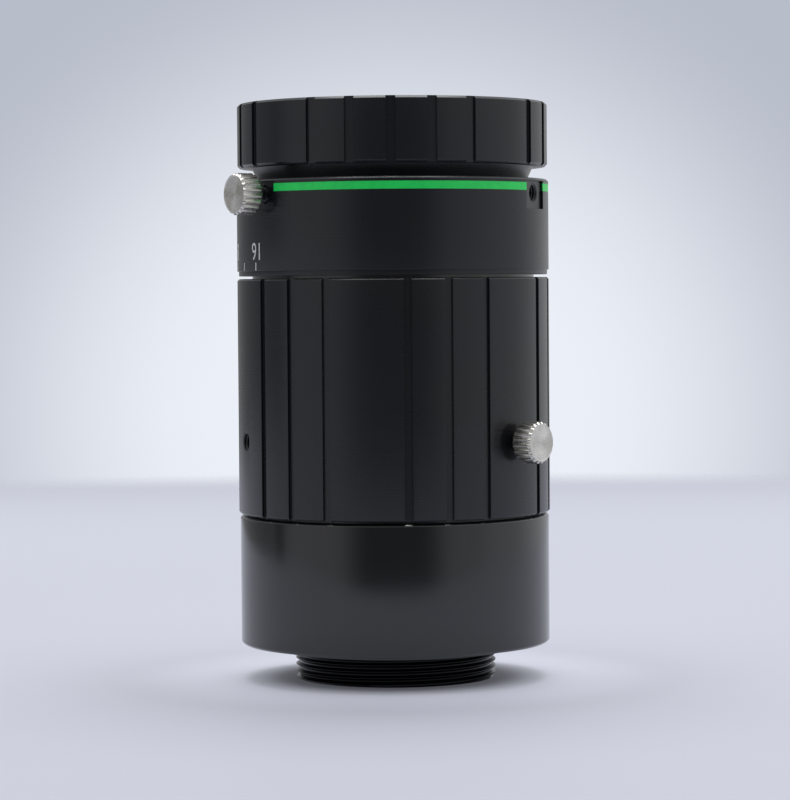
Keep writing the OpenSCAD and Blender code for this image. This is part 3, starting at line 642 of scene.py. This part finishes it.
class LENS_OT_rear_barrel(bpy.types.Operator):
    """Rear barrel and the fixed sleeve under the rings"""

    bl_idname = "lens.rear_barrel"
    bl_label = "Rear barrel"

    def execute(self, context):
        size = context.scene.lens_sizes
        low, top, skin = node_box("rear_barrel")
        high, edge, sleeve, bore, throat, recess = 17.1, 0.3, 17.85, 16.2, 12.65, 14.03
        bore_z, recess_z = 13.5, 4.8
        bm = bmesh.new()
        wire = profile(bm, [(recess, low), (skin - edge, low), (skin, low + edge),
                            (skin, high - edge), (skin - edge, high), (sleeve, high), (sleeve, top),
                            (bore, top), (bore, bore_z), (throat, bore_z), (throat, recess_z),
                            (recess, recess_z)], (1, 2, 3, 4), size.edge_round / MM)
        lathe(bm, wire, steps=size.lathe_steps)
        # The drive pin's slot, the guide screw's hole and the three holes of the focus lock
        slot_ends, slot_z, slot_r = (111, 169.3), 30.5, 0.8
        within, beyond = 15.5, 18.5
        guide_az, guide_z, guide_r, lock_r = -90, 36.0, 1.28, 1.2
        tools = bmesh.new()
        sector(tools, [(within, slot_z - slot_r), (beyond, slot_z - slot_r),
                       (beyond, slot_z + slot_r), (within, slot_z + slot_r)], *slot_ends)
        hole_tool(tools, guide_az, guide_z, within, beyond, guide_r)
        for i in range(LOCKS):
            hole_tool(tools, FOCUS_LOCK_AZ + i * LOCK_STEP, FOCUS_LOCK_Z, within, beyond, lock_r)
        carve(bm, tools)
        tools = bmesh.new()
        for azimuth in slot_ends:
            hole_tool(tools, azimuth, slot_z, within - 0.1, beyond - 0.1, slot_r)
        carve(bm, tools)
        piece("rear_barrel_turned", bm, ["gloss_anodised"], "fixed_barrel", ["rear_barrel"])
        return {"FINISHED"}


class LENS_OT_iris_ring(bpy.types.Operator):
    """Grooved iris ring with its three screw holes"""

    bl_idname = "lens.iris_ring"
    bl_label = "Iris ring"

    def execute(self, context):
        low, high, _ = node_box("iris_ring")
        bore, group, edge = 17.9, 3, groove_edge(0.95, 0.35)
        rows = chamfered(RING_R, low, high, chamfer=0.25)
        bm = bmesh.new()
        wire = profile(bm, rows + [(bore, high), (bore, low)], (0, 4, 5, 9), radius=0.03,
                       azimuth=IRIS_LOCK_AZ)
        lathe(bm, wire, groove_stops(IRIS_LOCK_AZ, group, RING_R, edge))
        cut_grooves(bm, IRIS_LOCK_AZ, group, RING_R, edge, low, high)
        tools = bmesh.new()
        for i in range(LOCKS):
            hole_tool(tools, IRIS_LOCK_AZ + i * LOCK_STEP, IRIS_LOCK_Z, DRILL_FROM, RING_R,
                      DRILL_R, sink=0.14)
        carve(bm, tools)
        for i in SPARE_HOLES:
            hole_thread(bm, IRIS_LOCK_AZ + i * LOCK_STEP, IRIS_LOCK_Z, bore + 0.05, RING_R - 0.15,
                        context.scene.lens_sizes.screw_pitch / MM)
        piece("iris_ring_grooved", bm, ["satin_anodised"], "iris_control", ["iris_ring"])
        return {"FINISHED"}


class LENS_OT_nameplate_ring(bpy.types.Operator):
    """Smooth fixed ring with its pockets and the green line"""

    bl_idname = "lens.nameplate_ring"
    bl_label = "Nameplate ring"

    def execute(self, context):
        size = context.scene.lens_sizes
        low, high, skin = node_box("nameplate_ring")
        bore, lip, lip_tall, step, step_tall, edge = 17.88, 17.3, 0.5, 0.2, 0.6, 0.25
        line_low, line_high, line_deep = 57.7, 58.7, 0.12
        pocket_wide, pocket_tall, pocket_deep, pocket_z = 5.2, 3.5, 0.45, 57.2
        bm = bmesh.new()
        wire = profile(bm, [(bore, low), (skin - step, low), (skin - step, low + step_tall),
                            (skin, low + step_tall), (skin, line_low),
                            (skin - line_deep, line_low), (skin - line_deep, line_high),
                            (skin, line_high), (skin, high - edge), (skin - edge, high),
                            (lip, high), (lip, high - lip_tall), (bore, high - lip_tall)],
                       (1, 3, 8, 9, 10), size.edge_round / MM)
        lathe(bm, wire, steps=size.lathe_steps)
        tools = bmesh.new()
        for i in range(LOCKS):
            block(tools, FOCUS_LOCK_AZ + i * LOCK_STEP, skin - pocket_deep + 1, pocket_z,
                  (pocket_wide, 2, pocket_tall))
        carve(bm, tools)
        tools = bmesh.new()
        for i in range(LOCKS):
            hole_tool(tools, FOCUS_LOCK_AZ + i * LOCK_STEP, FOCUS_LOCK_Z, DRILL_FROM,
                      skin - pocket_deep, DRILL_R, sink=0.1)
        carve(bm, tools)
        for i in SPARE_HOLES:
            hole_thread(bm, FOCUS_LOCK_AZ + i * LOCK_STEP, FOCUS_LOCK_Z, bore + 0.02,
                        skin - pocket_deep - 0.1, size.screw_pitch / MM)
        piece("nameplate_ring_turned", bm, ["satin_anodised"], "fixed_barrel",
              ["nameplate_ring"])
        band = bmesh.new()
        half = degrees(asin(pocket_wide / 2 / skin)) + 0.03
        under, over, inset = skin - line_deep - 0.01, skin - 0.015, 0.01
        for i in range(LOCKS):
            start = FOCUS_LOCK_AZ + i * LOCK_STEP
            sector(band, [(under, line_low + inset), (over, line_low + inset),
                          (over, line_high - inset), (under, line_high - inset)],
                   start + half, start + LOCK_STEP - half)
        piece("green_line_painted", band, ["green_enamel"], "fixed_barrel", ["green_line"])
        return {"FINISHED"}


class LENS_OT_focus_ring(bpy.types.Operator):
    """Grooved focus ring with its filter thread"""

    bl_idname = "lens.focus_ring"
    bl_label = "Focus ring"

    def execute(self, context):
        size = context.scene.lens_sizes
        low, high, _ = node_box("focus_ring")
        skin, rim_low, group, bore, edge = 19.62, 60.95, 5, 17.48, groove_edge(1.2, 0.35)
        rows = chamfered(skin, rim_low, high, chamfer=0.3)
        inside = [(bore + 0.36, high), (bore + 0.3, high - 0.06), (bore + 0.3, 65.5), (16.9, 65.5),
                  (16.9, 61.96), (16.55, 61.96), (16.55, 60.6), (15.1, 60.6), (15.1, low),
                  (16.15, low), (16.15, 59.1), (17.05, 59.1), (17.05, 59.3), (17.8, rim_low)]
        bm = bmesh.new()
        wire = profile(bm, rows + inside, (0, 4, 5, 9), radius=0.03, azimuth=RIM_LAND_AZ)
        lathe(bm, wire, groove_stops(RIM_LAND_AZ, group, skin, edge))
        cut_grooves(bm, RIM_LAND_AZ, group, skin, edge, rim_low, high)
        thread_low, thread_high = 65.6, high - 0.12
        thread(bm, bore + 0.27, bore, size.filter_pitch / MM, thread_low, thread_high, bore + 0.33,
               steps=180, inner=True)
        piece("focus_ring_grooved", bm, ["satin_anodised"], "focus_assembly", ["focus_ring"])
        return {"FINISHED"}


class LENS_OT_lock_screws(bpy.types.Operator):
    """The two knurled lock screws"""

    bl_idname = "lens.lock_screws"
    bl_label = "Lock screws"

    def knurl(self, bm, low, high, radius):
        """Presses V notches into the head, with rounded crests"""
        deep, slope, ease = 0.3, 0.92, 0.03
        for v in bm.verts:
            reach = hypot(v.co.x, v.co.y) / MM
            if reach < radius - 0.75 or not low - 0.01 < v.co.z / MM < high + 0.01:
                continue
            turn = degrees(atan2(v.co.x, -v.co.y)) / KNURL_STEP
            off = radians(abs(turn - round(turn)) * KNURL_STEP)
            floor = radius - deep + radius * off * slope
            gap = max(ease - abs(reach - floor), 0) / ease
            new = min(reach, floor) - gap * gap * ease / 4
            v.co.x *= new / reach
            v.co.y *= new / reach

    def execute(self, context):
        pitch = context.scene.lens_sizes.screw_pitch / MM
        radius, tall, bevel = 2.6, 2.7, 0.28
        major, minor, core = 0.97, 0.8, 0.15
        notch = (0, 1.6, 3.2, 4.8, 6.2, 7.4, 9, 10.6, 11.8, 13.2, 14.8, 16.4)
        stops = [(i + f / KNURL_STEP) * KNURL_STEP for i in range(360 // KNURL_STEP)
                 for f in notch] + [360]
        for body, azimuth, height, tip, head in (
                ("iris_lock", IRIS_LOCK_AZ, IRIS_LOCK_Z, 17.9, 20.8),
                ("focus_lock", FOCUS_LOCK_AZ, FOCUS_LOCK_Z, 16.25, 21.0)):
            top = head + tall
            bm = bmesh.new()
            points = [(0, head), (1.1, head), (1.5, head), (radius - bevel, head),
                      (radius, head + bevel), (radius, top - bevel), (radius - bevel, top),
                      (2.2, top), (2.14, top - 0.04), (0, top - 0.14)]
            wire = profile(bm, points, closed=False)
            lathe(bm, wire, stops)
            self.knurl(bm, head, top, radius)
            turned = len(bm.faces)
            # The shank is painted dark, as shade between the head and the ring
            thread(bm, major, minor, pitch, tip, head + 0.05, core, steps=36)
            coat_after(bm, turned)
            bmesh.ops.transform(bm, matrix=outward(azimuth, height), verts=bm.verts)
            piece(body + "_knurled", bm, [body + "_nickel", "screw_thread"], body,
                  [body + "_screw"], sharp=28)
        return {"FINISHED"}


class LENS_OT_scale(bpy.types.Operator):
    """Aperture numbers and ticks, read from the mount side, and the iris ring's index"""

    bl_idname = "lens.scale"
    bl_label = "Aperture scale"

    def number(self, bm, text, azimuth, top, tall):
        """Prints a number upside down on the ring's skin, with its foot at that top height, in
        strips that follow the skin's curve"""
        narrow, thick, sunk, strip = 0.85, 0.02, 0.006, 0.25
        curve = bpy.data.curves.new("number", "FONT")
        curve.body = text
        curve.align_x = "CENTER"
        curve.offset = -0.004
        holder = placed("number", curve)
        mesh = bpy.data.meshes.new_from_object(
            holder.evaluated_get(bpy.context.evaluated_depsgraph_get()))
        part = bmesh.new()
        part.from_mesh(mesh)
        bpy.data.objects.remove(holder)
        bpy.data.curves.remove(curve)
        bpy.data.meshes.remove(mesh)
        bmesh.ops.remove_doubles(part, verts=part.verts, dist=1e-5)
        low = min(v.co.y for v in part.verts)
        zoom = tall / (max(v.co.y for v in part.verts) - low)
        middle = (min(v.co.x for v in part.verts) + max(v.co.x for v in part.verts)) / 2
        bmesh.ops.translate(part, vec=(-middle, -low, 0), verts=part.verts)
        bmesh.ops.scale(part, vec=(zoom * narrow, zoom, 1), verts=part.verts)
        grown = bmesh.ops.extrude_face_region(part, geom=part.faces[:])["geom"]
        lifted = [item for item in grown if isinstance(item, bmesh.types.BMVert)]
        bmesh.ops.translate(part, vec=(0, 0, thick), verts=lifted)
        for step in range(-8, 9):
            bmesh.ops.bisect_plane(part, geom=part.verts[:] + part.edges[:] + part.faces[:],
                                   dist=1e-6, plane_co=(step * strip, 0, 0), plane_no=(1, 0, 0))
        bmesh.ops.remove_doubles(part, verts=part.verts, dist=1e-3)
        bmesh.ops.dissolve_degenerate(part, dist=1e-3, edges=part.edges)
        bmesh.ops.triangulate(part, faces=part.faces[:])
        for v in part.verts:
            turn = radians(azimuth) - v.co.x / RING_R
            reach = (RING_R - sunk + v.co.z) * MM
            v.co = Vector((reach * sin(turn), -reach * cos(turn), (top - v.co.y) * MM))
        bmesh.ops.recalc_face_normals(part, faces=part.faces)
        join(bm, part)

    def tick(self, bm, azimuth, low, high, width):
        """Prints a short upright line"""
        block(bm, azimuth, RING_R, (high + low) / 2, (width, 0.026, high - low))

    def execute(self, context):
        tall = context.scene.lens_sizes.digit_height / MM
        tick_low, tick_high, digit_top = 48.0, 49.0, 51.45
        marks = bmesh.new()
        for text, azimuth in (("16", -59.2), ("", -69.9), ("8", -80.6), ("", -91.3), ("4", -102),
                              ("", -112.7), ("2.4", WIDE_OPEN_AZ)):
            self.tick(marks, azimuth, tick_low, tick_high, width=0.2)
            if text:
                self.number(marks, text, azimuth, digit_top, tall)
        piece("aperture_scale", marks, ["white_ink"], "fixed_barrel", sharp=30)
        index = bmesh.new()
        self.tick(index, WIDE_OPEN_AZ, low=45.2, high=46.6, width=0.28)
        piece("iris_index", index, ["white_ink"], "iris_control", sharp=30)
        return {"FINISHED"}


class LENS_OT_glass(bpy.types.Operator):
    """The six lens elements, smooth and coated"""

    bl_idname = "lens.glass"
    bl_label = "Glass"

    def element(self, name, node, finish, top, rim, bottom):
        """An element. Each face is (vertex height, signed curvature radius, reach), and the rim
        between them is a list of (reach, height)"""
        bm = bmesh.new()
        ends = []
        for height, curve, reach in (top, bottom):
            pole = bm.verts.new((0, 0, height * MM))
            angle = asin(reach / abs(curve))
            swung = bmesh.ops.spin(bm, geom=[pole], cent=(0, 0, (height - curve) * MM),
                                   axis=(1, 0, 0), angle=angle if curve > 0 else -angle, steps=14)
            ends.append([v for v in swung["geom_last"] if isinstance(v, bmesh.types.BMVert)][0])
        last = ends[0]
        for reach, height in rim:
            corner = bm.verts.new((0, -reach * MM, height * MM))
            bm.edges.new((last, corner))
            last = corner
        bm.edges.new((last, ends[1]))
        lathe(bm, list(bm.edges), steps=144)
        piece(name, bm, [finish], "lens_unit", [node], sharp=30)

    def execute(self, context):
        self.element("front_lens_ground", "front_lens", "crown_glass", (63.03, 30, 12.75),
                     [(12.9, 60.1), (12.9, 57.933)], (58.43, 150, 12.2))
        self.element("front_crown_ground", "front_doublet_crown", "crown_glass",
                     (55.03, 22, 11.6), [(11.6, 50.55)], (48.83, -40, 11.6))
        self.element("front_flint_ground", "front_doublet_flint", "flint_glass",
                     (48.80, -40, 11.3), [(11.6, 50.43), (11.6, 44.19)], (47.20, 13.5, 8.5))
        self.element("rear_flint_ground", "rear_doublet_flint", "flint_glass",
                     (24.717, -13, 8.0), [(10.4, 27.47), (10.4, 22.36)], (23.217, 60, 10.1))
        self.element("rear_crown_ground", "rear_doublet_crown", "crown_glass",
                     (23.187, 60, 10.4), [(10.4, 20.104)], (17.187, -20, 10.4))
        self.element("rear_lens_ground", "rear_lens", "crown_glass",
                     (16.387, 45, 10.4), [(10.4, 13.695)], (12.787, -60, 10.4))
        return {"FINISHED"}


class LENS_OT_inner_parts(bpy.types.Operator):
    """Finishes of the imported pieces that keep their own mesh"""

    bl_idname = "lens.inner_parts"
    bl_label = "Inner parts"

    def execute(self, context):
        finishes = {
            "glare_stop": ["lens_barrel", "carrier_ring", "front_retaining_ring", "front_spacer",
                           "iris_base_plate", "iris_retainer", "rear_cell", "rear_spacer",
                           "rear_retaining_ring"],
            "blued_steel": [f"iris_blade_{i}" for i in range(1, 7)],
            "turned_steel": ["guide_screw", "iris_drive_pin", "focus_stop_pin"],
            "turned_brass": ["iris_cam_ring"],
        }
        for finish, nodes in finishes.items():
            for node in nodes:
                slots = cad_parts[node].data.materials
                slots.clear()
                slots.append(finish_named(finish))
        return {"FINISHED"}


class LENS_OT_stage(bpy.types.Operator):
    """Pale floor, light tent, softbox and camera"""

    bl_idname = "lens.stage"
    bl_label = "Stage"

    def floor(self, colour):
        """A round pale floor that fades out at its far edge and before the camera"""
        bm = bmesh.new()
        bmesh.ops.create_circle(bm, cap_ends=True, segments=128, radius=0.46)
        bmesh.ops.translate(bm, vec=(0, 0, FLOOR_Z * MM), verts=bm.verts)
        mesh = bpy.data.meshes.new("floor")
        bm.to_mesh(mesh)
        bm.free()
        made = placed("floor", mesh)
        cover, place = material("floor_card")
        away = place.from_axis()
        # Painted light on the floor: all of it glows faintly, and a ring close round the mount glows
        # more, which lightens the contact shadow
        near = away.between(0.0135, 0.019) * away.between(0.037, 0.02)
        painted_glow = near.blend(rgba(colour), rgba(colour, 3.8))
        # Its colour is painted darker near the lens and lighter farther out, against the fall-off of
        # the softbox
        card = place.node("ShaderNodeBsdfPrincipled", None, {
            "Base Color": away.between(0.1, 0.35).blend(rgba(colour, 0.84), rgba(colour, 1.02)),
            "Roughness": 0.6 + place.noise(40, 2) * 0.1,
            "Emission Color": painted_glow, "Emission Strength": 0.1})
        clear = place.node("ShaderNodeBsdfTransparent")
        ahead = (-1 * place.along("Y")).between(0.105, 0.19)
        gone = place.math("MAXIMUM", away.between(0.38, 0.455), ahead)
        surface(place, place.node("ShaderNodeMixShader", None, {0: gone, 1: card, 2: clear}))
        mesh.materials.append(cover)

    def tent(self, level):
        """Walls of light: dim to the left and the front, brighter to the right and overhead"""
        world = bpy.data.worlds.new("studio")
        bpy.context.scene.world = world
        world.use_nodes = True
        world.node_tree.nodes.clear()
        link = Link(world.node_tree)
        way = link.node("ShaderNodeTexCoord", out="Generated")
        side, ahead, up = way.along("X"), way.along("Y"), way.along("Z")
        # Parts of the walls: the right rear, a dark stand at the left, both flanks and the front
        right = side.between(-0.9, 0.9) * ahead.between(-0.6, 0.6)
        stand = side.between(0, -0.5) * link.math("ABSOLUTE", ahead - 0.07).between(0.14, 0.03)
        flank = link.math("ABSOLUTE", side).between(0.3, 0.8) * ahead.between(0.3, -0.3)
        wall = 0.24 + right * 0.5 + flank * 0.27 - stand * 0.17
        front = (-1 * ahead).between(0.75, 0.97) * 0.5
        lit = link.node("ShaderNodeBackground", None, {
            "Color": (0.97, 0.98, 1.0, 1),
            "Strength": level * (wall * (1 - front) + up.between(0.2, 0.8) * 0.5)})
        # The backdrop that the camera sees: a pale glow behind the lens
        low = up + 0.04
        glow = (side * side + low * low * 1.2) ** 0.5
        seen = link.node("ShaderNodeBackground", None, {
            "Color": glow.between(0.055, 0.175).blend((0.83, 0.863, 0.93, 1), (0.48, 0.51, 0.59, 1)),
            "Strength": 1.0})
        path = link.math("MAXIMUM", *(link.node("ShaderNodeLightPath", out=ray)
                                      for ray in ("Is Camera Ray", "Is Transmission Ray")))
        mixed = link.node("ShaderNodeMixShader", None, {0: path, 1: lit, 2: seen})
        out = world.node_tree.nodes.new("ShaderNodeOutputWorld")
        world.node_tree.links.new(mixed.socket, out.inputs["Surface"])

    def execute(self, context):
        studio = context.scene.studio_light
        tone = context.scene.lens_finish
        self.floor(tone.floor)
        self.tent(studio.tent)
        lamp = bpy.data.lights.new("top_softbox", "AREA")
        lamp.shape = "SQUARE"
        lamp.size = 0.3
        lamp.energy = studio.top_power
        holder = placed("top_softbox", lamp)
        holder.location = (0, 0.08, 0.42)
        holder.rotation_euler = (radians(-12), 0, 0)
        lens = bpy.data.cameras.new("camera")
        lens.sensor_fit = "AUTO"
        sensor, focal_pixels, frame_pixels = 36, 3130, 800
        lens.sensor_width = sensor
        lens.lens = focal_pixels * sensor / frame_pixels
        lens.clip_start = 0.01
        lens.clip_end = 20
        eye = placed("camera", lens)
        aside, tall, pitch, roll = 0.00013, 0.0454, 88, -0.43
        eye.matrix_world = (Matrix.Translation((aside, -studio.camera_distance, tall))
                            @ Matrix.Rotation(radians(pitch), 4, "X")
                            @ Matrix.Rotation(radians(roll), 4, "Z"))
        context.scene.camera = eye
        context.scene.view_settings.view_transform = "Standard"
        return {"FINISHED"}


class LENS_PT_panel(bpy.types.Panel):
    """The lens's pieces, sizes and colours in the sidebar"""

    bl_label = "Machine vision lens"
    bl_idname = "LENS_PT_panel"
    bl_space_type = "VIEW_3D"
    bl_region_type = "UI"
    bl_category = "Lens"

    def draw(self, context):
        for operator in PIECES:
            self.layout.operator(operator.bl_idname)
        for group in (context.scene.lens_sizes, context.scene.lens_finish,
                      context.scene.studio_light):
            box = self.layout.box()
            for name in group.__annotations__:
                box.prop(group, name)


GROUPS = (LensSizes, LensFinish, StudioLight)
PIECES = (LENS_OT_mount, LENS_OT_rear_barrel, LENS_OT_iris_ring, LENS_OT_nameplate_ring,
          LENS_OT_focus_ring, LENS_OT_lock_screws, LENS_OT_scale, LENS_OT_glass,
          LENS_OT_inner_parts, LENS_OT_stage)


def register():
    for item in GROUPS + PIECES + (LENS_PT_panel,):
        bpy.utils.register_class(item)
    bpy.types.Scene.lens_sizes = PointerProperty(type=LensSizes)
    bpy.types.Scene.lens_finish = PointerProperty(type=LensFinish)
    bpy.types.Scene.studio_light = PointerProperty(type=StudioLight)


def unregister():
    del bpy.types.Scene.studio_light
    del bpy.types.Scene.lens_finish
    del bpy.types.Scene.lens_sizes
    for item in reversed(GROUPS + PIECES + (LENS_PT_panel,)):
        bpy.utils.unregister_class(item)


def main():
    """Makes every piece"""
    register()
    for operator in PIECES:
        group, name = operator.bl_idname.split(".")
        getattr(getattr(bpy.ops, group), name)()


if __name__ == "__main__":
    main()
